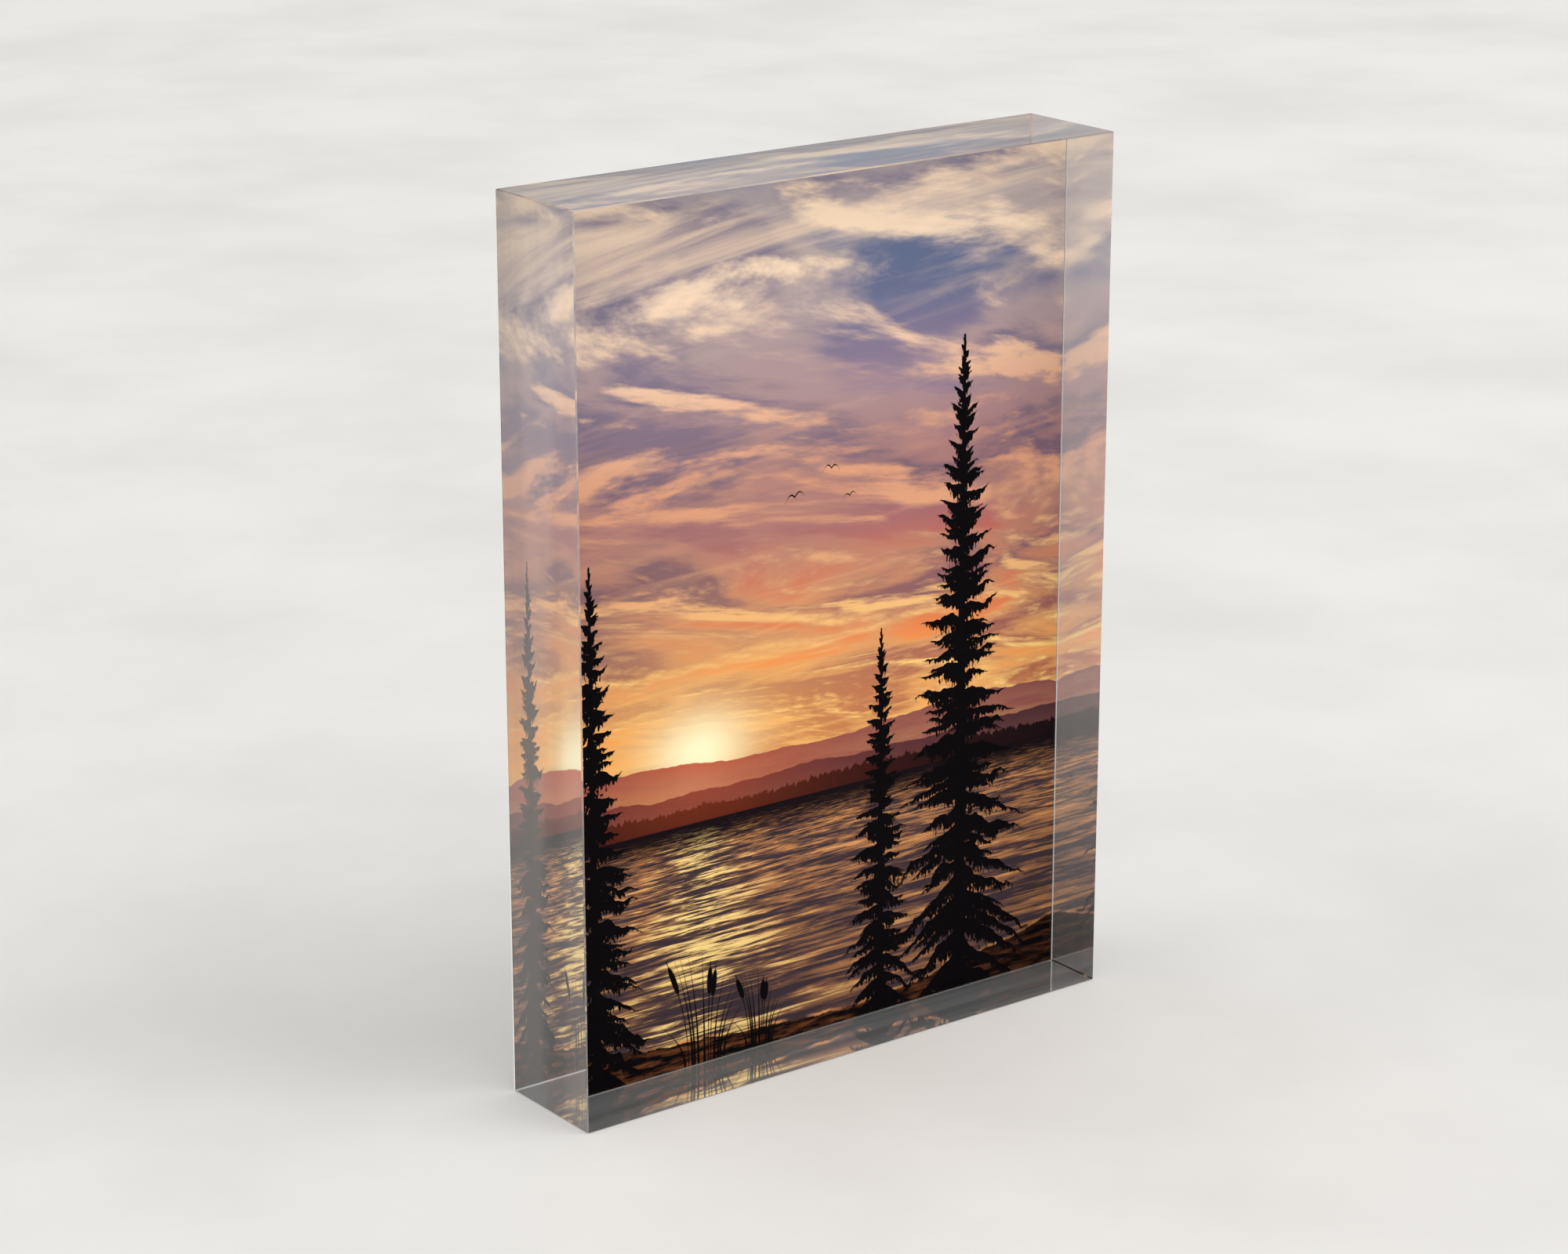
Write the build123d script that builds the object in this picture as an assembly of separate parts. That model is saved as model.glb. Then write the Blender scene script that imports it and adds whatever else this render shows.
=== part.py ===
from build123d import *
import os

# Acrylic photo block: a thick clear block with a photo print bonded, face first, to its back.
# Millimetres. X runs to the right and Z up as one faces the picture, and Y runs from the viewer
# into the block. The origin is the centre of the block's base, on which it stands, so the front
# face lies at Y = -BLOCK_DEPTH / 2 and the bonded layers start at Y = BLOCK_DEPTH / 2.

# Clear block, cut for a 5 x 7 inch print from 25 mm cast acrylic
BLOCK_WIDTH = 127.0
BLOCK_HEIGHT = 177.8
BLOCK_DEPTH = 25.0
EDGE_EASE = 0.25  # leg of the narrow polished chamfer on every edge

# Bonded layers, from the block's back face outwards, trimmed almost flush with the block's sides
TRIM_SETBACK = 0.1  # of the layers' cut edges from the block's sides
MOUNTING_FILM_THICKNESS = 0.05  # optically clear adhesive
PRINT_THICKNESS = 0.2  # photo paper
BACKING_ADHESIVE_THICKNESS = 0.05
BACKING_THICKNESS = 0.2  # stiff white plastic sheet

LAYERS = [
    ("clear_mounting_film", MOUNTING_FILM_THICKNESS),
    ("photo_print", PRINT_THICKNESS),
    ("backing_adhesive", BACKING_ADHESIVE_THICKNESS),
    ("backing_sheet", BACKING_THICKNESS),
]


def acrylic_block():
    """The clear block on its base, with every edge eased."""
    block = Pos(Z=BLOCK_HEIGHT / 2) * Box(BLOCK_WIDTH, BLOCK_DEPTH, BLOCK_HEIGHT)
    return chamfer(block.edges(), EDGE_EASE)


def bonded_layer(front, thickness):
    """One flat sheet behind the block, trimmed just inside its sides, with its front at Y = front."""
    sheet = Box(BLOCK_WIDTH - 2 * TRIM_SETBACK, thickness, BLOCK_HEIGHT - 2 * TRIM_SETBACK)
    return Pos(0, front + thickness / 2, BLOCK_HEIGHT / 2) * sheet


def write(name, piece):
    """Write one piece to its own file."""
    export_step(piece, f"parts/{name}.step")


os.makedirs("parts", exist_ok=True)
write("acrylic_block", acrylic_block())
layer_front = BLOCK_DEPTH / 2
for name, thickness in LAYERS:
    write(name, bonded_layer(layer_front, thickness))
    layer_front += thickness
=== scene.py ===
import math

import bmesh
import bpy
import numpy as np
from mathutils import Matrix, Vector


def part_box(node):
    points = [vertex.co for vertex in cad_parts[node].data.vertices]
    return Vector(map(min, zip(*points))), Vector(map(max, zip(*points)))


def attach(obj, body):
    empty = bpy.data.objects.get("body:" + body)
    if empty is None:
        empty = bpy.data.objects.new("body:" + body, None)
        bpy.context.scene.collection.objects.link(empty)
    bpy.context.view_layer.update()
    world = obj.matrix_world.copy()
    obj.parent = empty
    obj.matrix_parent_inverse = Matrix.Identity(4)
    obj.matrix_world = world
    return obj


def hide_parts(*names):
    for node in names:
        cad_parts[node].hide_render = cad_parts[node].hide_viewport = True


bl_info = {
    "name": "Acrylic photo block",
    "version": (1, 0, 0),
    "blender": (4, 5, 0),
    "location": "View3D > Sidebar > Photo block",
    "description": "Dresses a clear block with a print bonded to its back, and sets its studio",
    "category": "Object",
}

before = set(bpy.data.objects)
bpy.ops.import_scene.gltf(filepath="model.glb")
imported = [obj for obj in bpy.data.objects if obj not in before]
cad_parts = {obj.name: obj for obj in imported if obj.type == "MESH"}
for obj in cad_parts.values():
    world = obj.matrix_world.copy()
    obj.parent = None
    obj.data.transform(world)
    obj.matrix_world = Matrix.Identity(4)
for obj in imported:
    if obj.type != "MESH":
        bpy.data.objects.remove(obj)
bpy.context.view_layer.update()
BODY = "root"
BAKE_MAP = "OFBake"  # name of the UV map that the print's faces are laid out on
LEVEL = 1e-6  # metres within which two heights are one
MERGE = 1e-7  # metres within which two corners are one
SQUARE = 0.99  # least part of a face's normal along an axis that it lies square to
TILTED = 0.1  # least part of a face's normal along an axis that it leans towards


def vertex_places(mesh):
    """Places of a mesh's vertices, one row each."""
    places = np.empty(len(mesh.vertices) * 3)
    mesh.vertices.foreach_get("co", places)
    return places.reshape(-1, 3)


def face_normals(mesh):
    """Outward directions of a mesh's faces, one row each."""
    normals = np.empty(len(mesh.polygons) * 3)
    mesh.polygons.foreach_get("normal", normals)
    return normals.reshape(-1, 3)


def chamfer_leg(node):
    """How far the flat foot of a CAD block lies inside its sides."""
    places = vertex_places(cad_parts[node].data)
    foot = places[np.isclose(places[:, 2], places[:, 2].min(), atol=LEVEL)]
    return float(foot[:, 0].min() - places[:, 0].min())


def portion(place, low, high):
    """How much of the way from low to high a place has gone."""
    return (place - low) / (high - low)


# Properties

def srgb(red, green, blue):
    """Linear colour of a colour written in 8-bit screen values."""
    screen = np.array((red, green, blue)) / 255
    linear = np.where(screen <= 0.04045, screen / 12.92, ((screen + 0.055) / 1.055) ** 2.4)
    return tuple(float(channel) for channel in linear)


def colour(name, description, *screen):
    """A colour property, written in 8-bit screen values."""
    return bpy.props.FloatVectorProperty(
        name=name, description=description, subtype="COLOR", size=3, min=0, max=1, default=srgb(*screen)
    )


def length(name, description, metres):
    """A length property, in metres."""
    return bpy.props.FloatProperty(
        name=name, description=description, default=metres, min=0, precision=5, unit="LENGTH"
    )


def share(name, description, default):
    """A property from 0 to 1."""
    return bpy.props.FloatProperty(
        name=name, description=description, default=default, min=0, max=1, subtype="FACTOR"
    )


def spot(name, description, *metres):
    """A place property, in metres."""
    return bpy.props.FloatVectorProperty(
        name=name, description=description, size=3, subtype="XYZ", unit="LENGTH", default=metres
    )


def camera_size(name, description, millimetres):
    """A property of the camera, in millimetres."""
    return bpy.props.FloatProperty(
        name=name, description=description, default=millimetres, min=1, unit="CAMERA"
    )


class ClearBlockSettings(bpy.types.PropertyGroup):
    """Sizes and finish of the clear block."""

    edge_ease: length("Edge ease", "Leg of the polished chamfer on every edge", chamfer_leg("acrylic_block"))
    film_lip: length("Film lip", "How far the film stops short of the print's trimmed edge", 0.00005)
    print_sink: length("Print sink", "How far the print's face lies inside the clear film", 0.00002)
    refractive_index: bpy.props.FloatProperty(
        name="Refractive index", description="Of cast acrylic", default=1.49, min=1, max=2
    )
    face_colour: colour("Face colour", "Tint of the cast faces", 252, 253, 253)
    mirror_start: share("Mirror start", "Fresnel share at which a cast face starts to mirror", 0.06)
    mirror_full: share("Mirror full", "Fresnel share from which it mirrors as acrylic does", 0.2)
    edge_colour: colour("Edge colour", "Tint of the cut and polished edges", 228, 230, 231)
    edge_passes: share("Edge passes", "Share of the lamps' light that an edge lets through", 0.5)
    edge_streaks: share("Edge streaks", "How much darker the polishing streaks are", 0.3)
    side_clarity: share("Side clarity", "Share of light that the sides don't throw back", 0.95)
    top_clarity: share("Top clarity", "Share of light that the top doesn't throw back", 0.88)
    base_clarity: share("Base clarity", "Share of light that the base doesn't throw back", 0.8)
    ease_colour: colour("Easing colour", "Tint of the eased edges", 205, 204, 202)
    ease_clarity: share("Easing clarity", "Share of light that the eased edges don't throw back", 0.95)
    rim_clarity: share("Rim clarity", "Share of light that the upright eased edges don't throw back", 0.72)
    haze_colour: colour("Haze colour", "Tint of the sides' haze", 234, 228, 224)
    left_haze: share("Left haze", "Share of light that the left side scatters on its way through", 0.2)
    left_buffing: share("Left buffing", "How much of that haze is buffed away in front of a line", 0.8)
    right_haze: share("Right haze", "Share of light that the right side scatters on its way through", 0.24)
    right_buffing: share("Right buffing", "How much of that haze is buffed away at the foot", 0.8)


class PictureSettings(bpy.types.PropertyGroup):
    """Inks of the printed dusk landscape."""

    sky_low: colour("Sky, low", "Clear sky at the ridge", 252, 196, 112)
    sky_amber: colour("Sky, amber", "Clear sky a little higher", 244, 150, 80)
    sky_coral: colour("Sky, coral", "Clear sky below the middle", 206, 104, 80)
    sky_rose: colour("Sky, rose", "Clear sky in the middle", 150, 100, 110)
    sky_lilac: colour("Sky, lilac", "Clear sky above the middle", 138, 120, 144)
    sky_slate: colour("Sky, slate", "Clear sky near the top", 98, 109, 142)
    sky_blue: colour("Sky, blue", "Clear sky at the top", 116, 132, 166)
    shade_low: colour("Cloud shade, low", "Clouds away from the light, at the ridge", 170, 92, 72)
    shade_mid: colour("Cloud shade, middle", "Clouds away from the light, in the middle", 106, 82, 102)
    shade_high: colour("Cloud shade, high", "Clouds away from the light, at the top", 132, 121, 142)
    light_low: colour("Cloud light, low", "Clouds that catch the light, at the ridge", 253, 206, 124)
    light_mid: colour("Cloud light, middle", "Clouds that catch the light, in the middle", 216, 154, 124)
    light_high: colour("Cloud light, high", "Clouds that catch the light, at the top", 253, 223, 194)
    halo: colour("Halo", "Sky round the setting sun", 255, 190, 96)
    flare: colour("Flare", "Haze over the hills in front of the sun", 214, 92, 44)
    glow: colour("Glow", "Sky at the setting sun", 255, 244, 200)
    far_ridge: colour("Far ridge", "Furthest hills, in haze", 132, 76, 76)
    mid_ridge: colour("Middle ridge", "Hills between", 72, 43, 52)
    near_ridge: colour("Near ridge", "Wooded far shore", 25, 18, 22)
    water_light: colour("Water, light", "Ripples that catch the low sky", 222, 152, 92)
    water_dark: colour("Water, dark", "Ripples in shade", 62, 50, 56)
    glint: colour("Glint", "Sunlit ripples", 255, 220, 140)
    sand: colour("Sand", "Near shore where the low sun rakes it", 122, 72, 42)
    silhouette: colour("Silhouette", "Near shore and trees against the light", 14, 12, 14)
    paper: colour("Paper", "Bare photo paper at the edge and back", 240, 239, 235)
    paper_fibre: colour("Paper fibre", "The same where its fibres lie deeper", 206, 202, 194)


class BackingSettings(bpy.types.PropertyGroup):
    """Finish of the layers behind the print."""

    sheet_colour: colour("Sheet colour", "Matt white plastic", 236, 236, 233)
    sheet_shade: colour("Sheet shade", "The same where it is handled and rubbed", 214, 213, 208)
    sheet_ease: length("Sheet ease", "Softening of the cut edge of the sheet", 0.00005)
    adhesive_colour: colour("Adhesive colour", "Edge of the adhesive film", 222, 220, 210)
    adhesive_shade: colour("Adhesive shade", "The same where the film is cloudy", 196, 192, 178)


class StageSettings(bpy.types.PropertyGroup):
    """Camera, floor and light."""

    eye: spot("Eye", "Where the camera stands", -0.45463, -0.5937, 0.32164)
    aim: spot("Aim", "What the camera looks at", -0.00752, 0.0, 0.08707)
    lens: camera_size("Lens", "Focal length of the camera's lens", 92.54)
    sensor: camera_size("Sensor", "Width of the camera's sensor", 36.0)
    floor_reach: length("Floor reach", "How far the floor runs to each side", 8.0)
    floor_gap: length("Floor gap", "How far the floor lies below the base", 0.00005)
    floor_colour: colour("Floor colour", "Pale plaster", 229, 228, 226)
    floor_shade: colour("Floor shade", "Faint mottling of the plaster", 218, 217, 215)
    front_light: colour("Front light", "Surround on the camera's side", 255, 254, 252)
    back_light: colour("Back light", "Surround behind the block", 160, 160, 160)
    surround_power: bpy.props.FloatProperty(
        name="Surround power", description="Brightness of the surround", default=1.36, min=0
    )
    key_place: spot("Key place", "Where the soft box stands", 2.7, -3.0, 3.9)
    key_size: length("Key size", "Side of the soft box", 3.6)
    key_power: bpy.props.FloatProperty(
        name="Key power", description="Power of the soft box", default=100.0, min=0, subtype="POWER"
    )


class PhotoBlockSettings(bpy.types.PropertyGroup):
    """All settings of the photo block."""

    block: bpy.props.PointerProperty(type=ClearBlockSettings)
    picture: bpy.props.PointerProperty(type=PictureSettings)
    backing: bpy.props.PointerProperty(type=BackingSettings)
    stage: bpy.props.PointerProperty(type=StageSettings)


# Shader building

class Field:
    """A quantity that varies over a surface: the output of a shader node. Arithmetic adds Math nodes."""

    def __init__(self, shading, socket):
        self.shading = shading
        self.socket = socket

    def __add__(self, other):
        return self.shading.maths("ADD", self, other)

    def __sub__(self, other):
        return self.shading.maths("SUBTRACT", self, other)

    def __rsub__(self, other):
        return self.shading.maths("SUBTRACT", other, self)

    def __mul__(self, other):
        return self.shading.maths("MULTIPLY", self, other)

    def __truediv__(self, other):
        return self.shading.maths("DIVIDE", self, other)

    def __rtruediv__(self, other):
        return self.shading.maths("DIVIDE", other, self)

    def __pow__(self, other):
        return self.shading.maths("POWER", self, other)

    def __abs__(self):
        return self.shading.maths("ABSOLUTE", self)

    __radd__ = __add__
    __rmul__ = __mul__


class Shading:
    """A material or world under construction. Each method adds a node and hands back its output."""

    def __init__(self, owner):
        owner.use_nodes = True
        self.owner = owner
        self.tree = owner.node_tree
        self.tree.nodes.clear()

    def feed(self, socket, value):
        """Link a field or a node's output to a socket, or set the socket to a plain value."""
        if isinstance(value, Field):
            value = value.socket
        if isinstance(value, bpy.types.NodeSocket):
            self.tree.links.new(value, socket)
        elif socket.type == "RGBA":
            socket.default_value = (*value, 1)
        else:
            socket.default_value = value

    def node(self, kind, inputs, **options):
        """A node with its options set and its inputs fed, by name or by number."""
        made = self.tree.nodes.new(kind)
        for option, value in options.items():
            setattr(made, option, value)
        for socket, value in inputs.items():
            self.feed(made.inputs[socket], value)
        return made

    def maths(self, operation, *values):
        """A sum, product or other function of fields and plain numbers."""
        made = self.node("ShaderNodeMath", dict(enumerate(values)), operation=operation)
        return Field(self, made.outputs[0])

    def rise(self, value, start, end):
        """0 below start and 1 above end, with a smooth rise between."""
        inputs = {"Value": value, "From Min": start, "From Max": end}
        made = self.node("ShaderNodeMapRange", inputs, interpolation_type="SMOOTHSTEP")
        return Field(self, made.outputs[0])

    def place(self, space="Object"):
        """The three object coordinates, in metres, or those of another space."""
        made = self.node("ShaderNodeTexCoord", {})
        parts = self.node("ShaderNodeSeparateXYZ", {0: made.outputs[space]})
        return [Field(self, output) for output in parts.outputs]

    def point(self, x, y, z=0.0):
        """A place in space, from its coordinates."""
        return self.node("ShaderNodeCombineXYZ", {0: x, 1: y, 2: z}).outputs[0]

    def noise(self, place, detail=3.0, roughness=0.5, distortion=0.0):
        """Fractal noise of 0 to 1 with features about one unit across."""
        inputs = {"Vector": place, "Scale": 1.0, "Detail": detail, "Roughness": roughness}
        inputs["Distortion"] = distortion
        return Field(self, self.node("ShaderNodeTexNoise", inputs).outputs[0])

    def grain(self, place, counts, **options):
        """Fractal noise with as many features in a metre of each coordinate as the counts say."""
        scaled = [coordinate * count for coordinate, count in zip(place, counts)]
        return self.noise(self.point(*scaled), **options)

    def chance(self, place):
        """An even random number of 0 to 1 for each different place."""
        return Field(self, self.node("ShaderNodeTexWhiteNoise", {"Vector": place}).outputs["Value"])

    def blend(self, amount, under, over):
        """Under where amount is 0 and over where it is 1."""
        made = self.node("ShaderNodeMix", {0: amount, 6: under, 7: over}, data_type="RGBA")
        return made.outputs[2]

    def scale(self, value, stops):
        """Colours along a value, from (position, colour) stops."""
        made = self.node("ShaderNodeValToRGB", {0: value})
        ramp = made.color_ramp
        ramp.interpolation = "EASE"
        for position, _ in stops[2:]:
            ramp.elements.new(position)
        for element, (position, ink) in zip(ramp.elements, stops):
            element.position = position
            element.color = (*ink, 1)
        return made.outputs[0]

    def bump(self, height, distance):
        """A surface direction, tilted as if a height of 1 stood that many metres proud."""
        inputs = {"Height": height, "Distance": distance, "Strength": 1.0}
        return self.node("ShaderNodeBump", inputs).outputs[0]

    def shader(self, **inputs):
        """A Principled shader, with its sockets named by words joined by underscores."""
        named = {socket.replace("_", " "): value for socket, value in inputs.items()}
        return self.node("ShaderNodeBsdfPrincipled", named).outputs[0]

    def solid(self, **inputs):
        """Finish the material with one Principled shader."""
        self.node("ShaderNodeOutputMaterial", {"Surface": self.shader(**inputs)})
        return self.owner

    def mix(self, amount, under, over):
        """A shader that is under where amount is 0 and over where it is 1."""
        return self.node("ShaderNodeMixShader", {0: amount, 1: under, 2: over}).outputs[0]

    def clear(self, passes, surface):
        """Finish the material with a shader that passes a share of the lamps' light to the print."""
        path = self.node("ShaderNodeLightPath", {})
        through = self.node("ShaderNodeBsdfTransparent", {"Color": (passes,) * 3})
        for ray in ("Is Diffuse Ray", "Is Shadow Ray"):
            surface = self.mix(path.outputs[ray], surface, through.outputs[0])
        self.node("ShaderNodeOutputMaterial", {"Surface": surface})
        return self.owner


def new_finish(name):
    """A new material under construction."""
    return Shading(bpy.data.materials.new(name))


# Mesh building

def slab(name, low, high, rows, corner_steps):
    """A rounded rectangle carried along the depth, closed by one polygon at each end.

    Each row is (inset, corner radius, depth): the outline of the box in X and Z, drawn in by the
    inset and with its corners rounded, at that Y. A point of a row is the centre of its corner's arc
    plus radius * (cos a, sin a), where a runs a quarter turn round each of the four corners.
    """
    inset, radius, depth = np.array(rows).T[:, :, None]
    quarter = np.linspace(0, math.pi / 2, corner_steps + 1)
    angle = (np.arange(4)[:, None] * math.pi / 2 + quarter).ravel()
    sign_x = np.repeat((1, -1, -1, 1), corner_steps + 1)
    sign_z = np.repeat((1, 1, -1, -1), corner_steps + 1)
    middle, half = (high + low) / 2, (high - low) / 2
    x = middle.x + sign_x * (half.x - inset - radius) + radius * np.cos(angle)
    z = middle.z + sign_z * (half.z - inset - radius) + radius * np.sin(angle)
    y = np.broadcast_to(depth, x.shape)
    points = np.stack((x, y, z), axis=-1).reshape(-1, 3)
    grid = np.arange(x.size).reshape(x.shape)
    after = np.roll(grid, -1, axis=1)
    quads = np.stack((grid[:-1], after[:-1], after[1:], grid[1:]), axis=-1).reshape(-1, 4)
    mesh = bpy.data.meshes.new(name)
    mesh.from_pydata(points.tolist(), [], quads.tolist() + [grid[0].tolist(), grid[-1].tolist()])
    clean = bmesh.new()
    clean.from_mesh(mesh)
    bmesh.ops.remove_doubles(clean, verts=clean.verts, dist=MERGE)
    bmesh.ops.recalc_face_normals(clean, faces=clean.faces)
    clean.to_mesh(mesh)
    clean.free()
    return mesh


def eased_rows(front, back, ease, steps):
    """Rows of a slab from its front to its back, with both rims rounded to the ease.

    Over a quarter turn t, a row of a rim is drawn in by ease * (1 - sin t), has corners of radius
    ease * sin t, and lies ease * (1 - cos t) inside the front or the back.
    """
    turn = np.linspace(0, math.pi / 2, steps + 1)
    inset = ease * (1 - np.sin(turn))
    radius = ease * np.sin(turn)
    step = ease * (1 - np.cos(turn))
    front_rim = np.stack((inset, radius, front + step), axis=-1)
    back_rim = np.stack((inset, radius, back - step), axis=-1)
    return np.concatenate((front_rim, back_rim[::-1]))


def add_piece(mesh, materials, slot, *nodes):
    """Link a mesh to the scene as a piece that rides on the block and stands for the nodes."""
    piece = bpy.data.objects.new(mesh.name, mesh)
    bpy.context.scene.collection.objects.link(piece)
    for material in materials:
        mesh.materials.append(material)
    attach(piece, BODY)
    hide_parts(*nodes)


# Clear block

def cast_face(settings):
    """The cast faces: clear, smooth and colourless, with a mirror that sets in at low angles alone."""
    shading = new_finish("cast acrylic face")
    tint, index = settings.face_colour, settings.refractive_index
    bare = shading.node("ShaderNodeBsdfRefraction", {"Color": tint, "Roughness": 0.0, "IOR": index})
    glossy = shading.shader(Base_Color=tint, Roughness=0.0, IOR=index, Transmission_Weight=1.0)
    fresnel = shading.node("ShaderNodeFresnel", {"IOR": index})
    mirror = shading.rise(fresnel.outputs[0], settings.mirror_start, settings.mirror_full)
    return shading.clear(passes=1.0, surface=shading.mix(mirror, bare.outputs[0], glossy))


# Places on the block's sides, as shares of its depth and height
HAZE_LINE = 0.62  # depth of the line at the left side's foot
HAZE_CURVE = 0.5  # how much further forward it lies at the top
HAZE_START = (-0.06, 0.14)  # how far ahead of the line the haze starts to clear and is clearest
HAZE_RETURN = (0.25, 0.5)  # how far ahead of it some haze starts to return and is all back
FOOT_CLEARED = 0.5  # height at which the right side's haze is whole


def left_side_haze(shading, settings, place):
    """The left side's haze, cleared in front of a line that curves forward up the side.

    The line lies further forward by the squared height. The haze is thinnest a little way ahead of it, and
    half of what was cleared is back further on.
    """
    low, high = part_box("acrylic_block")
    _, y, z = place
    height = portion(z, low.z, high.z)
    ahead = HAZE_LINE - height ** 2.0 * HAZE_CURVE - portion(y, low.y, high.y)
    cleared = shading.rise(ahead, *HAZE_START) * (1.0 - 0.5 * shading.rise(ahead, *HAZE_RETURN))
    return settings.left_haze * (1.0 - settings.left_buffing * cleared)


def right_side_haze(shading, settings, place):
    """The right side's haze, cleared at the foot and whole from some way up."""
    low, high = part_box("acrylic_block")
    cleared = 1.0 - shading.rise(portion(place[2], low.z, high.z), 0.0, FOOT_CLEARED)
    return settings.right_haze * (1.0 - settings.right_buffing * cleared)


def polished_edge(settings, name, tint, clarity, haze=None):
    """A cut edge: clear, with haze, and with streaks and fine marks along the polished length."""
    shading = new_finish(name)
    place = shading.place()
    marks = shading.grain(place, (60.0, 2400.0, 60.0), detail=2.0)
    dull = shading.grain(place, (90.0, 140.0, 90.0))
    streaks = shading.grain(place, (4.0, 130.0, 4.0))
    streak_tint = [channel * (1 - settings.edge_streaks) for channel in tint]
    surface = shading.shader(
        Base_Color=shading.blend(shading.rise(streaks, 0.4, 0.7), tint, streak_tint),
        Roughness=0.02 + 0.05 * dull,
        IOR=settings.refractive_index,
        Transmission_Weight=clarity,
        Normal=shading.bump(marks, 0.000002),
    )
    if haze:
        scattered = shading.node("ShaderNodeBsdfTranslucent", {"Color": settings.haze_colour})
        surface = shading.mix(haze(shading, settings, place), surface, scattered.outputs[0])
    return shading.clear(settings.edge_passes, surface)


class PHOTOBLOCK_OT_clear_block(bpy.types.Operator):
    """Make the clear block, with the mounting film as part of the same clear body"""

    bl_idname = "photo_block.clear_block"
    bl_label = "Clear block"

    def execute(self, context):
        settings = context.scene.photo_block.block
        low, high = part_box("acrylic_block")
        film_low, film_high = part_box("clear_mounting_film")
        film_inset = film_low.x - low.x + settings.film_lip
        film_back = film_high.y + settings.print_sink
        rows = eased_rows(low.y, high.y, settings.edge_ease, steps=1)
        film = [(film_inset, 0, high.y), (film_inset, 0, film_back)]
        mesh = slab("clear_block", low, high, np.concatenate((rows, film)), corner_steps=1)
        across, deep, up = face_normals(mesh).T
        upright_rim = (np.abs(deep) > TILTED) & (np.abs(across) > TILTED)
        faces = [
            np.abs(deep) > SQUARE, across < -SQUARE, across > SQUARE, up > SQUARE, up < -SQUARE, upright_rim
        ]
        index = np.select(faces, range(len(faces)), default=len(faces))
        mesh.polygons.foreach_set("material_index", index.astype(np.int32))
        edges = [
            ("polished left side", settings.edge_colour, settings.side_clarity, left_side_haze),
            ("polished right side", settings.edge_colour, settings.side_clarity, right_side_haze),
            ("polished top", settings.edge_colour, settings.top_clarity),
            ("polished base", settings.edge_colour, settings.base_clarity),
            ("upright rim", settings.ease_colour, settings.rim_clarity),
            ("eased edge", settings.ease_colour, settings.ease_clarity),
        ]
        materials = [cast_face(settings)] + [polished_edge(settings, *edge) for edge in edges]
        add_piece(mesh, materials, "clear_acrylic", "acrylic_block", "clear_mounting_film")
        return {"FINISHED"}


# Printed picture, in picture heights: across from the middle, up from the foot

HORIZON = 0.285
SUN = (-0.15, 0.365)
EDGE = 0.0007  # half the softness of a printed outline
CLOUD_HEIGHT = 0.34  # keeps the cloud sheet from running off to infinity at the horizon
SUNWARD_STEP = 0.045  # share of the way to the sun at which a cloud's thickness is compared
TREES = (
    {"foot": 0.215, "top": 0.78, "half_width": 0.115, "tiers": 30.0, "seed": 1.0},
    {"foot": -0.29, "top": 0.6, "half_width": 0.08, "tiers": 24.0, "seed": 5.0},
    {"foot": 0.1, "top": 0.46, "half_width": 0.062, "tiers": 22.0, "seed": 9.0},
)
TREE_BASE = 0.02  # height of the trees' feet
REED_BEDS = (
    {"middle": -0.145, "spread": 0.028, "tall": 0.17},
    {"middle": -0.07, "spread": 0.018, "tall": 0.12},
)
REEDS = 12  # in each bed, every fourth of them a bulrush
REED_HALF_WIDTH = 0.0017
SPREAD_STEP, HEIGHT_STEP = 0.618, 0.377  # from one reed to the next, so that no two are alike
STALK_HALF_WIDTH, HEAD_HALF_WIDTH = 0.0006, 0.0032
HEAD_MIDDLE, HEAD_REACH = 0.8, 0.13  # shares of a bulrush's height
BIRDS = (
    {"place": (-0.02, 0.63), "span": 0.014, "tilt": 0.2},
    {"place": (0.03, 0.655), "span": 0.012, "tilt": -0.1},
    {"place": (0.055, 0.62), "span": 0.01, "tilt": 0.15},
)


def cloud_sheet(shading, across, up, pitch, stretch, turn, seed, detail=9.0, distortion=0.4):
    """Fractal noise on a level sheet of cloud overhead, drawn out along one direction.

    The sheet recedes to the horizon: a point is 1 / (height above the horizon + a constant) away, and lies
    that much times its place across to the side.
    """
    away = 1.0 / (up - HORIZON + CLOUD_HEIGHT)
    side = across * away
    along = side * math.cos(turn) + away * math.sin(turn)
    over = away * math.cos(turn) - side * math.sin(turn)
    place = shading.point(along * pitch + seed, over * pitch * stretch + seed)
    return shading.noise(place, detail=detail, roughness=0.58, distortion=distortion)


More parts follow.
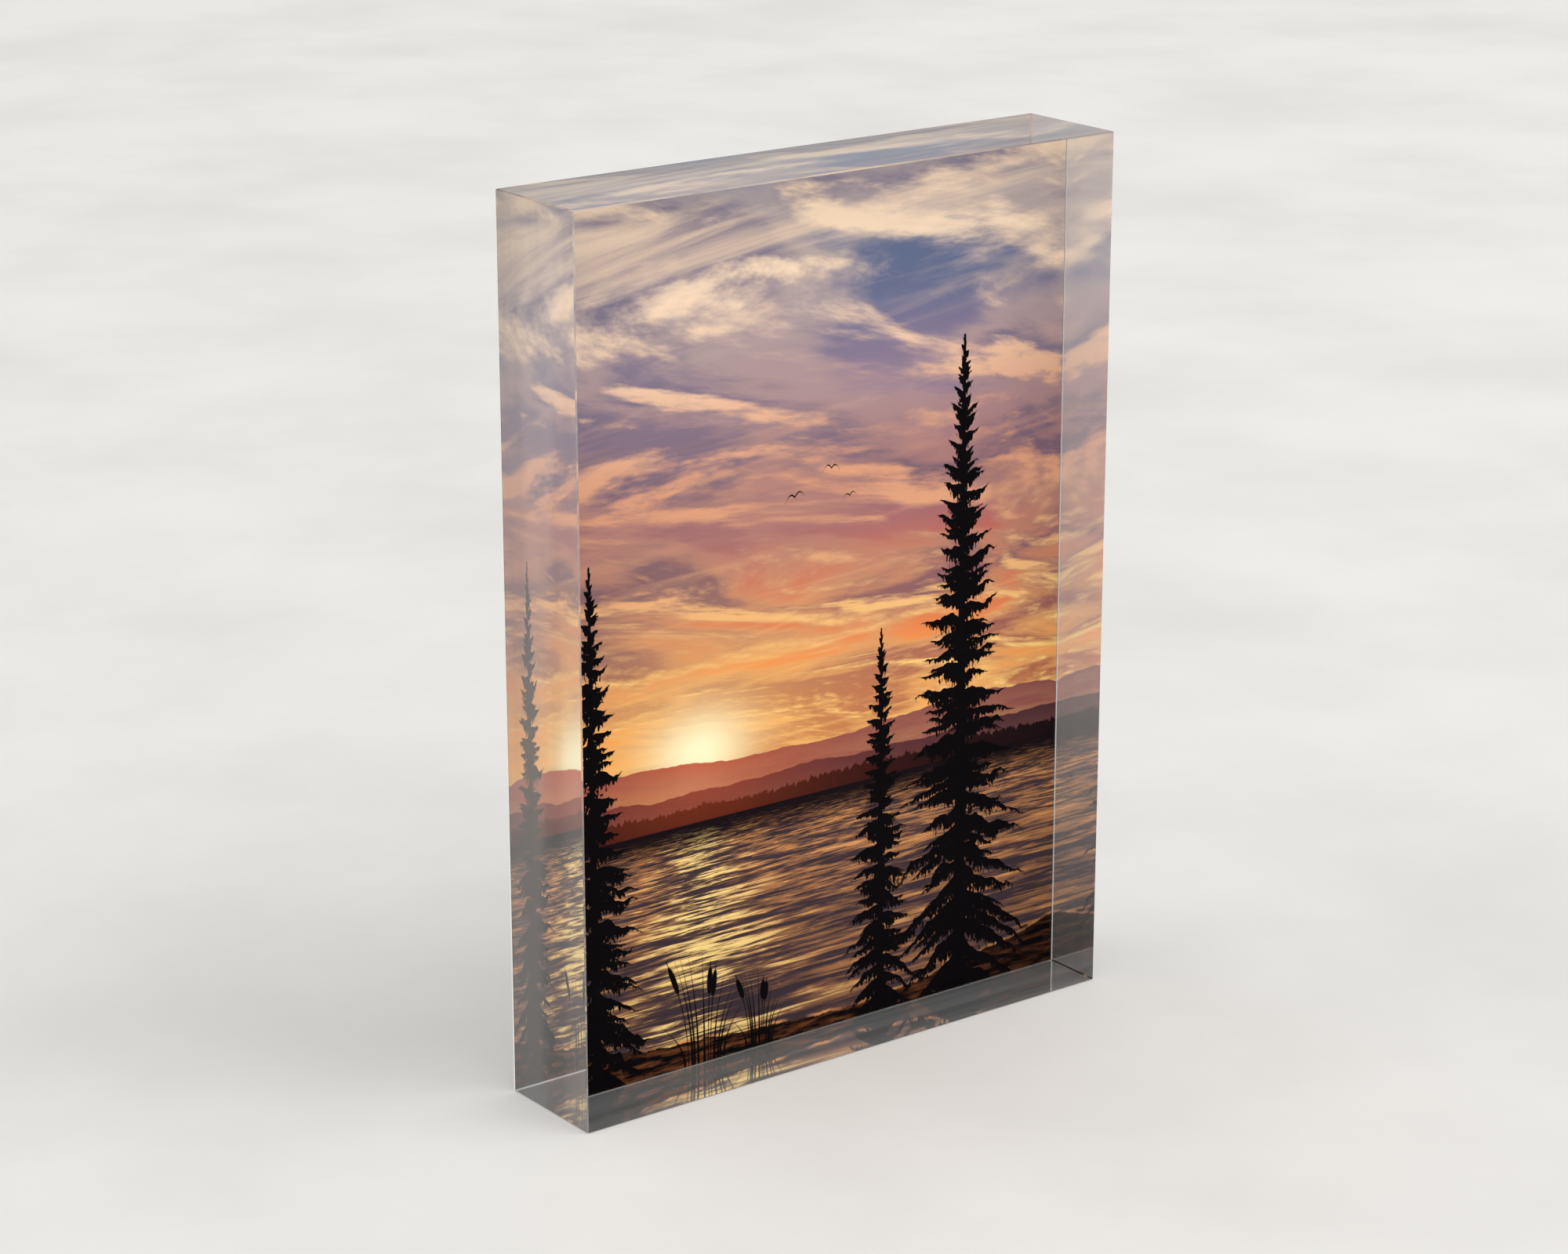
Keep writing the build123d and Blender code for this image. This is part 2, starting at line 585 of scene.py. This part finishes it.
def sky(shading, inks, across, up):
    """Banked clouds that a low sun lights from below.

    A point is lit by how much thicker the cloud is there than a step nearer to the sun, and its thin rims
    glow. Each of clear sky, shade and light has its own colours from the horizon up.
    """
    def thickness(step):
        """Thickness of the cloud a share of the way to the sun."""
        place = across + (SUN[0] - across) * step, up + (SUN[1] - up) * step
        return cloud_sheet(shading, *place, pitch=1.7, stretch=2.9, turn=0.22, seed=4.1)

    here = thickness(0.0)
    lit = shading.rise(here - thickness(SUNWARD_STEP), -0.015, 0.09)
    broad = shading.noise(shading.point(across * 3.0 + 2.0, up * 4.5), detail=2.0)
    cover = shading.rise(here + (broad - 0.5) * 0.3, 0.36, 0.56)
    rims = cover * (1.0 - cover) * 4.0
    fibres = cloud_sheet(shading, across, up, pitch=1.6, stretch=8.0, turn=-0.1, seed=9.0, distortion=0.9)
    clear = shading.scale(up, [
        (0.3, inks.sky_low), (0.4, inks.sky_amber), (0.5, inks.sky_coral), (0.61, inks.sky_rose),
        (0.74, inks.sky_lilac), (0.87, inks.sky_slate), (1.0, inks.sky_blue),
    ])
    shade = shading.scale(up, [(0.32, inks.shade_low), (0.55, inks.shade_mid), (0.86, inks.shade_high)])
    light = shading.scale(up, [(0.34, inks.light_low), (0.64, inks.light_mid), (0.9, inks.light_high)])
    colours = shading.blend(cover * 0.9, clear, shade)
    topmost = shading.rise(up, 0.8, 1.0)
    streaks = shading.rise(fibres + topmost * 0.1, 0.5, 0.76)
    colours = shading.blend(streaks * (0.45 + topmost * 0.45), colours, light)
    colours = shading.blend(rims * 0.3, colours, light)
    return shading.blend(lit * shading.rise(here, 0.36, 0.5), colours, light)


def sun_reach(shading, across, up):
    """Distance from the sun, with heights counted for more."""
    return shading.maths("SQRT", (across - SUN[0]) ** 2.0 + ((up - SUN[1]) * 1.4) ** 2.0)


def sunlight(shading, inks, across, up, picture):
    """The sun and the glow round it: the halo fades with the distance, the sun itself with its square."""
    reach = sun_reach(shading, across, up)
    halo = shading.maths("EXPONENT", reach * -7.0)
    core = shading.maths("EXPONENT", (reach * 16.0) ** 2.0 * -1.0)
    picture = shading.blend(halo * 0.7, picture, inks.halo)
    return shading.blend(core, picture, inks.glow)


def ridges(shading, inks, across, up, picture):
    """Two lines of hills in haze and the wooded far shore, all of them reddened towards the sun."""
    flare = shading.maths("EXPONENT", sun_reach(shading, across, up) * -9.0)
    for ink, height, swell, pitch, seed, haze in (
        (inks.far_ridge, 0.352, 0.075, 4.0, 2.3, 0.75),
        (inks.mid_ridge, 0.32, 0.055, 6.0, 8.1, 0.6),
    ):
        crest = shading.noise(shading.point(across * pitch + seed, seed), detail=6.0)
        depth = height + (crest - 0.5) * swell - up
        tone = shading.blend(flare * haze, ink, inks.flare)
        picture = shading.blend(shading.rise(depth, -EDGE, EDGE) * (0.97 - depth * 5.0), picture, tone)
    crest = shading.noise(shading.point(across * 6.0 + 5.0, 1.0))
    trees = shading.noise(shading.point(across * 120.0, up * 20.0, 7.0), detail=4.0, roughness=0.7)
    wood = 0.3 + (crest - 0.5) * 0.035 + (trees - 0.4) * 0.028
    tone = shading.blend(flare * 0.45, inks.near_ridge, inks.flare)
    return shading.blend(shading.rise(wood - up, -EDGE, EDGE), picture, tone)


def lake(shading, inks, across, up, picture):
    """Water from the far shore to the near one, with ripples that shorten towards the far shore."""
    near = (HORIZON - up) / HORIZON
    depth = near + 0.1
    recede = shading.maths("LOGARITHM", shading.maths("MAXIMUM", depth, 0.01), math.e)
    swell = shading.noise(shading.point(across * 3.2 / depth, recede * 13.0), distortion=0.3)
    ripple = shading.noise(
        shading.point(across * 9.0 / depth, recede * 46.0, 2.0), detail=6.0, roughness=0.66, distortion=0.5
    )
    height = swell * 0.45 + ripple * 0.55
    path = shading.maths("EXPONENT", ((across - SUN[0]) / (0.04 + 0.13 * near)) ** 2.0 * -1.0)
    shine = shading.rise(height, 0.44, 0.63)
    water = shading.blend(shine * (0.95 - 0.5 * near), inks.water_dark, inks.water_light)
    sparkle = shading.rise(height + path * 0.1, 0.58, 0.66) * (0.2 + path * 0.8)
    water = shading.blend(sparkle, water, inks.glint)
    mirrored = shading.rise(near + (ripple - 0.5) * 0.15, 0.02, 0.17)
    water = shading.blend(mirrored, inks.near_ridge, water)
    return shading.blend(shading.rise(HORIZON - up, -EDGE, EDGE), picture, water)


def shore(shading, inks, across, up, picture):
    """The dark near shore, raked by the sun, with a wet rim that catches the light here and there."""
    swell = shading.noise(shading.point(across * 4.0 + 2.0, 0.0), detail=2.0)
    stones = shading.noise(shading.point(across * 60.0, 4.0), detail=5.0, roughness=0.6)
    patches = shading.noise(shading.point(across * 14.0, 9.0))
    line = 0.017 + across ** 2.0 * 0.33 + (swell - 0.5) * 0.03 + (stones - 0.5) * 0.01
    wet = shading.rise(line + 0.0025 - up, -0.002, 0.0005) * shading.rise(patches, 0.42, 0.62)
    picture = shading.blend(wet, picture, inks.water_light)
    grain = shading.noise(shading.point(across * 22.0, up * 150.0, 3.0), detail=7.0, roughness=0.62)
    raked = shading.maths("EXPONENT", ((across - SUN[0]) / 0.34) ** 2.0 * -1.0)
    sand = shading.blend(shading.rise(grain, 0.42, 0.68) * (0.3 + raked * 0.6), inks.silhouette, inks.sand)
    return shading.blend(shading.rise(line - up, -EDGE, EDGE), picture, sand)


def conifer(shading, across, up, foot, top, half_width, tiers, seed):
    """1 inside a fir: two sets of branches, thick at the trunk and drawn out to a tip.

    The fall runs from 0 at the tree's tip to 1 at its foot. A branch follows a top line that climbs outwards
    high on the tree and hangs low on it. It fills the space below that line by a share that shrinks to
    nothing at the branch's own length, and hanging twigs fray its lower side.
    """
    tall = top - TREE_BASE
    fall = shading.maths("MAXIMUM", (top - up) / tall, 0.0)
    out = across - foot
    span = abs(out)
    side = shading.maths("SIGN", out)
    mean = half_width * fall ** 0.8 + 0.0006
    sway = shading.noise(shading.point(across * 34.0, up * 20.0, seed))
    twigs = shading.noise(shading.point(across * 330.0, up * 110.0, seed), detail=2.0, roughness=0.6)
    line = shading.maths("MAXIMUM", fall - span * (fall * 1.2 - 0.5) / tall, 0.0) ** 0.8
    inside = shading.rise(half_width * 0.07 * (0.2 + fall) - span, -EDGE, EDGE)
    for layer, count in enumerate((tiers, tiers * 1.37)):
        row = line * count + side * 0.25 + (sway - 0.5) * 1.3 + layer * 0.4
        below = shading.maths("FRACT", row)
        spread = shading.chance(shading.point(shading.maths("FLOOR", row), side + layer * 5.0, seed))
        tip = span / (mean * (0.5 + 0.62 * spread))
        left = shading.maths("MAXIMUM", 1.0 - tip, 0.0)
        fill = left * (1.0 + (twigs - 0.5) * 2.4)
        inside = shading.maths("MAXIMUM", inside, shading.rise(fill - below, 0.0, 0.1))
    return inside * shading.rise(fall, 0.0, 0.003)


def reed(shading, across, up, foot, height, lean):
    """1 inside a blade that leans further the higher it is and thins out to a point."""
    climb = up / height
    axis = foot + climb ** 2.0 * lean
    half = (1.0 - climb) * REED_HALF_WIDTH
    return shading.rise(half - abs(across - axis), -EDGE, EDGE) * shading.rise(1.0 - climb, 0.0, 0.01)


def bulrush(shading, across, up, foot, height, lean):
    """1 inside a thin stalk or the round-ended head that it carries below its tip."""
    climb = up / height
    head = ((climb - HEAD_MIDDLE) / HEAD_REACH) ** 2.0
    ends = shading.maths("SQRT", shading.maths("MAXIMUM", 1.0 - head, 0.0))
    out = abs(across - foot - climb ** 2.0 * lean)
    inside = shading.rise(STALK_HALF_WIDTH + ends * HEAD_HALF_WIDTH - out, -EDGE, EDGE)
    return inside * shading.rise(1.0 - climb, 0.0, 0.01)


def reed_bed(shading, across, up, picture, ink, middle, spread, tall):
    """A clump of blades that fan out from its middle, with bulrushes among them, drawn over the picture."""
    for blade in range(REEDS):
        out = 2 * (blade * SPREAD_STEP % 1) - 1
        height = tall * (0.55 + 0.45 * (blade * HEIGHT_STEP % 1) - 0.2 * abs(out))
        plant = bulrush if blade % 4 == 1 else reed
        inside = plant(shading, across, up, middle + out * spread, height, out * spread * 1.3)
        picture = shading.blend(inside, picture, ink)
    return picture


def bird(shading, across, up, place, span, tilt):
    """1 inside a distant bird: two wings that arch from the body and thin out to their tips."""
    out = (across - place[0]) / span
    rise = (up - place[1]) / span - out * tilt
    wing = abs(out)
    arch = wing * (1.0 - wing) * 1.5 - wing ** 2.0 * 0.35
    half_thickness = 0.085 * (1.0 - wing) + 0.01
    return shading.rise(half_thickness - abs(rise - arch), -0.04, 0.04) * shading.rise(1.0 - wing, 0.0, 0.05)


def printed_picture(inks, low, high):
    """The print's face: a lake at dusk."""
    shading = new_finish("printed picture")
    x, _, z = shading.place()
    across = x / (high.z - low.z)
    up = portion(z, low.z, high.z)
    picture = sky(shading, inks, across, up)
    picture = sunlight(shading, inks, across, up, picture)
    picture = ridges(shading, inks, across, up, picture)
    picture = lake(shading, inks, across, up, picture)
    picture = shore(shading, inks, across, up, picture)
    for tree in TREES:
        picture = shading.blend(conifer(shading, across, up, **tree), picture, inks.silhouette)
    for bed in REED_BEDS:
        picture = reed_bed(shading, across, up, picture, inks.silhouette, **bed)
    for flyer in BIRDS:
        picture = shading.blend(bird(shading, across, up, **flyer), picture, inks.silhouette)
    return shading.solid(Base_Color=picture, Roughness=0.9, Specular_IOR_Level=0.0)


def photo_paper(inks):
    """The print's edges and back: white paper with a faint fibre grain."""
    shading = new_finish("photo paper")
    grain = shading.grain(shading.place(), (3000.0, 3000.0, 3000.0))
    tone = shading.blend(0.12 * grain, inks.paper, inks.paper_fibre)
    return shading.solid(Base_Color=tone, Roughness=0.5 + 0.2 * grain, Normal=shading.bump(grain, 0.00001))


# Cells of the print's map, as shares of its width and height
PICTURE_WIDTH = 0.945
STRIP_START, STRIP_WIDTH = 0.955, 0.04
STRIP_FILL = 0.9  # how much of its row in the strip a face fills


def lay_map(mesh, low, high):
    """Lay the picture's face over most of the map, and the other faces in a strip beside it.

    Each face is a rectangle along two of the three axes. Its corners' shares of the box along those two are
    their place in the face's own cell of the map.
    """
    corners = np.empty(len(mesh.loops), dtype=np.int32)
    mesh.loops.foreach_get("vertex_index", corners)
    shares = portion(vertex_places(mesh), np.array(low), np.array(high))
    normals = face_normals(mesh)
    axes = np.array(((1, 2), (0, 2), (0, 1)))[np.abs(normals).argmax(axis=1)]
    places = np.take_along_axis(shares[corners].reshape(-1, 4, 3), axes[:, None].repeat(4, axis=1), axis=2)
    picture = normals[:, 1] < -SQUARE
    others = np.count_nonzero(~picture)
    start = np.stack((np.full(len(normals), STRIP_START), (np.cumsum(~picture) - 1) / others), axis=-1)
    start[picture] = 0
    size = np.where(picture[:, None], (PICTURE_WIDTH, 1), (STRIP_WIDTH, STRIP_FILL / others))
    places = start[:, None] + places * size[:, None]
    mesh.uv_layers.new(name=BAKE_MAP).data.foreach_set("uv", places.ravel())


class PHOTOBLOCK_OT_print(bpy.types.Operator):
    """Make the photo print that is bonded, face first, behind the clear block"""

    bl_idname = "photo_block.print"
    bl_label = "Photo print"

    def execute(self, context):
        inks = context.scene.photo_block.picture
        low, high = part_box("photo_print")
        mesh = slab("bonded_print", low, high, [(0, 0, low.y), (0, 0, high.y)], corner_steps=1)
        index = np.where(face_normals(mesh)[:, 1] < -SQUARE, 0, 1)
        mesh.polygons.foreach_set("material_index", index.astype(np.int32))
        lay_map(mesh, low, high)
        materials = [printed_picture(inks, low, high), photo_paper(inks)]
        add_piece(mesh, materials, "printed_paper", "photo_print")
        return {"FINISHED"}


# Backing

def matt_sheet(settings):
    """Matt white plastic with a fine stipple and a little rubbing."""
    shading = new_finish("matt white sheet")
    place = shading.place()
    stipple = shading.grain(place, (2600.0, 2600.0, 2600.0), detail=2.0)
    rubbed = shading.grain(place, (35.0, 35.0, 50.0), detail=6.0, roughness=0.65)
    wear = shading.rise(rubbed, 0.5, 0.8)
    tone = shading.blend(wear * 0.6, settings.sheet_colour, settings.sheet_shade)
    return shading.solid(
        Base_Color=tone,
        Roughness=0.5 + 0.12 * stipple - 0.12 * wear,
        Normal=shading.bump(stipple, 0.00002),
    )


def adhesive_edge(settings):
    """The edge of the adhesive film: cloudy and faintly warm."""
    shading = new_finish("adhesive film")
    cloud = shading.grain(shading.place(), (500.0, 500.0, 500.0))
    tone = shading.blend(0.4 * cloud, settings.adhesive_colour, settings.adhesive_shade)
    return shading.solid(Base_Color=tone, Roughness=0.25 + 0.3 * cloud)


class PHOTOBLOCK_OT_backing(bpy.types.Operator):
    """Make the backing sheet and finish the adhesive film that holds it"""

    bl_idname = "photo_block.backing"
    bl_label = "Backing"

    def execute(self, context):
        settings = context.scene.photo_block.backing
        low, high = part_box("backing_sheet")
        rows = eased_rows(low.y, high.y, settings.sheet_ease, steps=2)
        mesh = slab("backing_panel", low, high, rows, corner_steps=2)
        add_piece(mesh, [matt_sheet(settings)], "white_backing", "backing_sheet")
        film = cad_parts["backing_adhesive"]
        film.data.materials.clear()
        film.data.materials.append(adhesive_edge(settings))
        return {"FINISHED"}


# Stage

def plaster_floor(settings):
    """Pale plaster with a faint mottling."""
    shading = new_finish("pale plaster")
    x, y, _ = shading.place()
    patches = shading.grain((x, y), (9.0, 9.0), detail=6.0, roughness=0.55)
    tone = shading.blend(shading.rise(patches, 0.3, 0.75), settings.floor_colour, settings.floor_shade)
    return shading.solid(Base_Color=tone, Roughness=0.8, Specular_IOR_Level=0.2)


class PHOTOBLOCK_OT_stage(bpy.types.Operator):
    """Set the camera, the floor, the soft surround and one soft box"""

    bl_idname = "photo_block.stage"
    bl_label = "Stage"

    def execute(self, context):
        settings = context.scene.photo_block.stage
        self.add_camera(context, settings)
        self.add_floor(context, settings)
        self.add_light(context, settings)
        context.scene.view_settings.view_transform = "Standard"
        return {"FINISHED"}

    def add_camera(self, context, settings):
        """A camera at the eye that looks at the aim."""
        camera = bpy.data.cameras.new("camera")
        camera.lens = settings.lens
        camera.sensor_width = settings.sensor
        camera.sensor_fit = "HORIZONTAL"
        camera.clip_start = 0.01
        stand = bpy.data.objects.new("camera", camera)
        stand.location = settings.eye
        view = Vector(settings.aim) - Vector(settings.eye)
        stand.rotation_euler = view.to_track_quat("-Z", "Y").to_euler()
        context.scene.collection.objects.link(stand)
        context.scene.camera = stand

    def add_floor(self, context, settings):
        """A square of plaster just below the base."""
        corners = np.array(((-1, -1, 0), (1, -1, 0), (1, 1, 0), (-1, 1, 0))) * settings.floor_reach
        corners -= (0, 0, settings.floor_gap)
        mesh = bpy.data.meshes.new("floor")
        mesh.from_pydata(corners.tolist(), [], [(0, 1, 2, 3)])
        mesh.materials.append(plaster_floor(settings))
        floor = bpy.data.objects.new("floor", mesh)
        context.scene.collection.objects.link(floor)

    def add_light(self, context, settings):
        """A surround that is paler on the camera's side, and a soft box."""
        surround = Shading(bpy.data.worlds.new("surround"))
        x, y, _ = surround.place("Generated")
        facing = Vector(settings.eye) - Vector(settings.aim)
        facing = Vector((facing.x, facing.y)).normalized()
        front = surround.rise(x * facing.x + y * facing.y, -0.7, 0.7)
        light = surround.blend(front, settings.back_light, settings.front_light)
        glow = surround.node("ShaderNodeBackground", {"Color": light, "Strength": settings.surround_power})
        surround.node("ShaderNodeOutputWorld", {"Surface": glow.outputs[0]})
        context.scene.world = surround.owner
        lamp = bpy.data.lights.new("soft box", "AREA")
        lamp.shape = "SQUARE"
        lamp.size = settings.key_size
        lamp.energy = settings.key_power
        key = bpy.data.objects.new("soft_box", lamp)
        key.location = settings.key_place
        view = Vector(settings.aim) - Vector(settings.key_place)
        key.rotation_euler = view.to_track_quat("-Z", "Y").to_euler()
        context.scene.collection.objects.link(key)


class PHOTOBLOCK_PT_panel(bpy.types.Panel):
    """Lists the photo block's pieces and its stage"""

    bl_idname = "PHOTOBLOCK_PT_panel"
    bl_label = "Photo block"
    bl_space_type = "VIEW_3D"
    bl_region_type = "UI"
    bl_category = "Photo block"

    def draw(self, context):
        for operator in OPERATORS:
            self.layout.operator(operator.bl_idname)


OPERATORS = (
    PHOTOBLOCK_OT_stage,
    PHOTOBLOCK_OT_clear_block,
    PHOTOBLOCK_OT_print,
    PHOTOBLOCK_OT_backing,
)
CLASSES = (
    ClearBlockSettings,
    PictureSettings,
    BackingSettings,
    StageSettings,
    PhotoBlockSettings,
    *OPERATORS,
    PHOTOBLOCK_PT_panel,
)


def register():
    for kind in CLASSES:
        bpy.utils.register_class(kind)
    bpy.types.Scene.photo_block = bpy.props.PointerProperty(type=PhotoBlockSettings)


def unregister():
    del bpy.types.Scene.photo_block
    for kind in reversed(CLASSES):
        bpy.utils.unregister_class(kind)


def main():
    """Make the stage and the pieces."""
    register()
    bpy.ops.photo_block.stage()
    bpy.ops.photo_block.clear_block()
    bpy.ops.photo_block.print()
    bpy.ops.photo_block.backing()


if __name__ == "__main__":
    main()
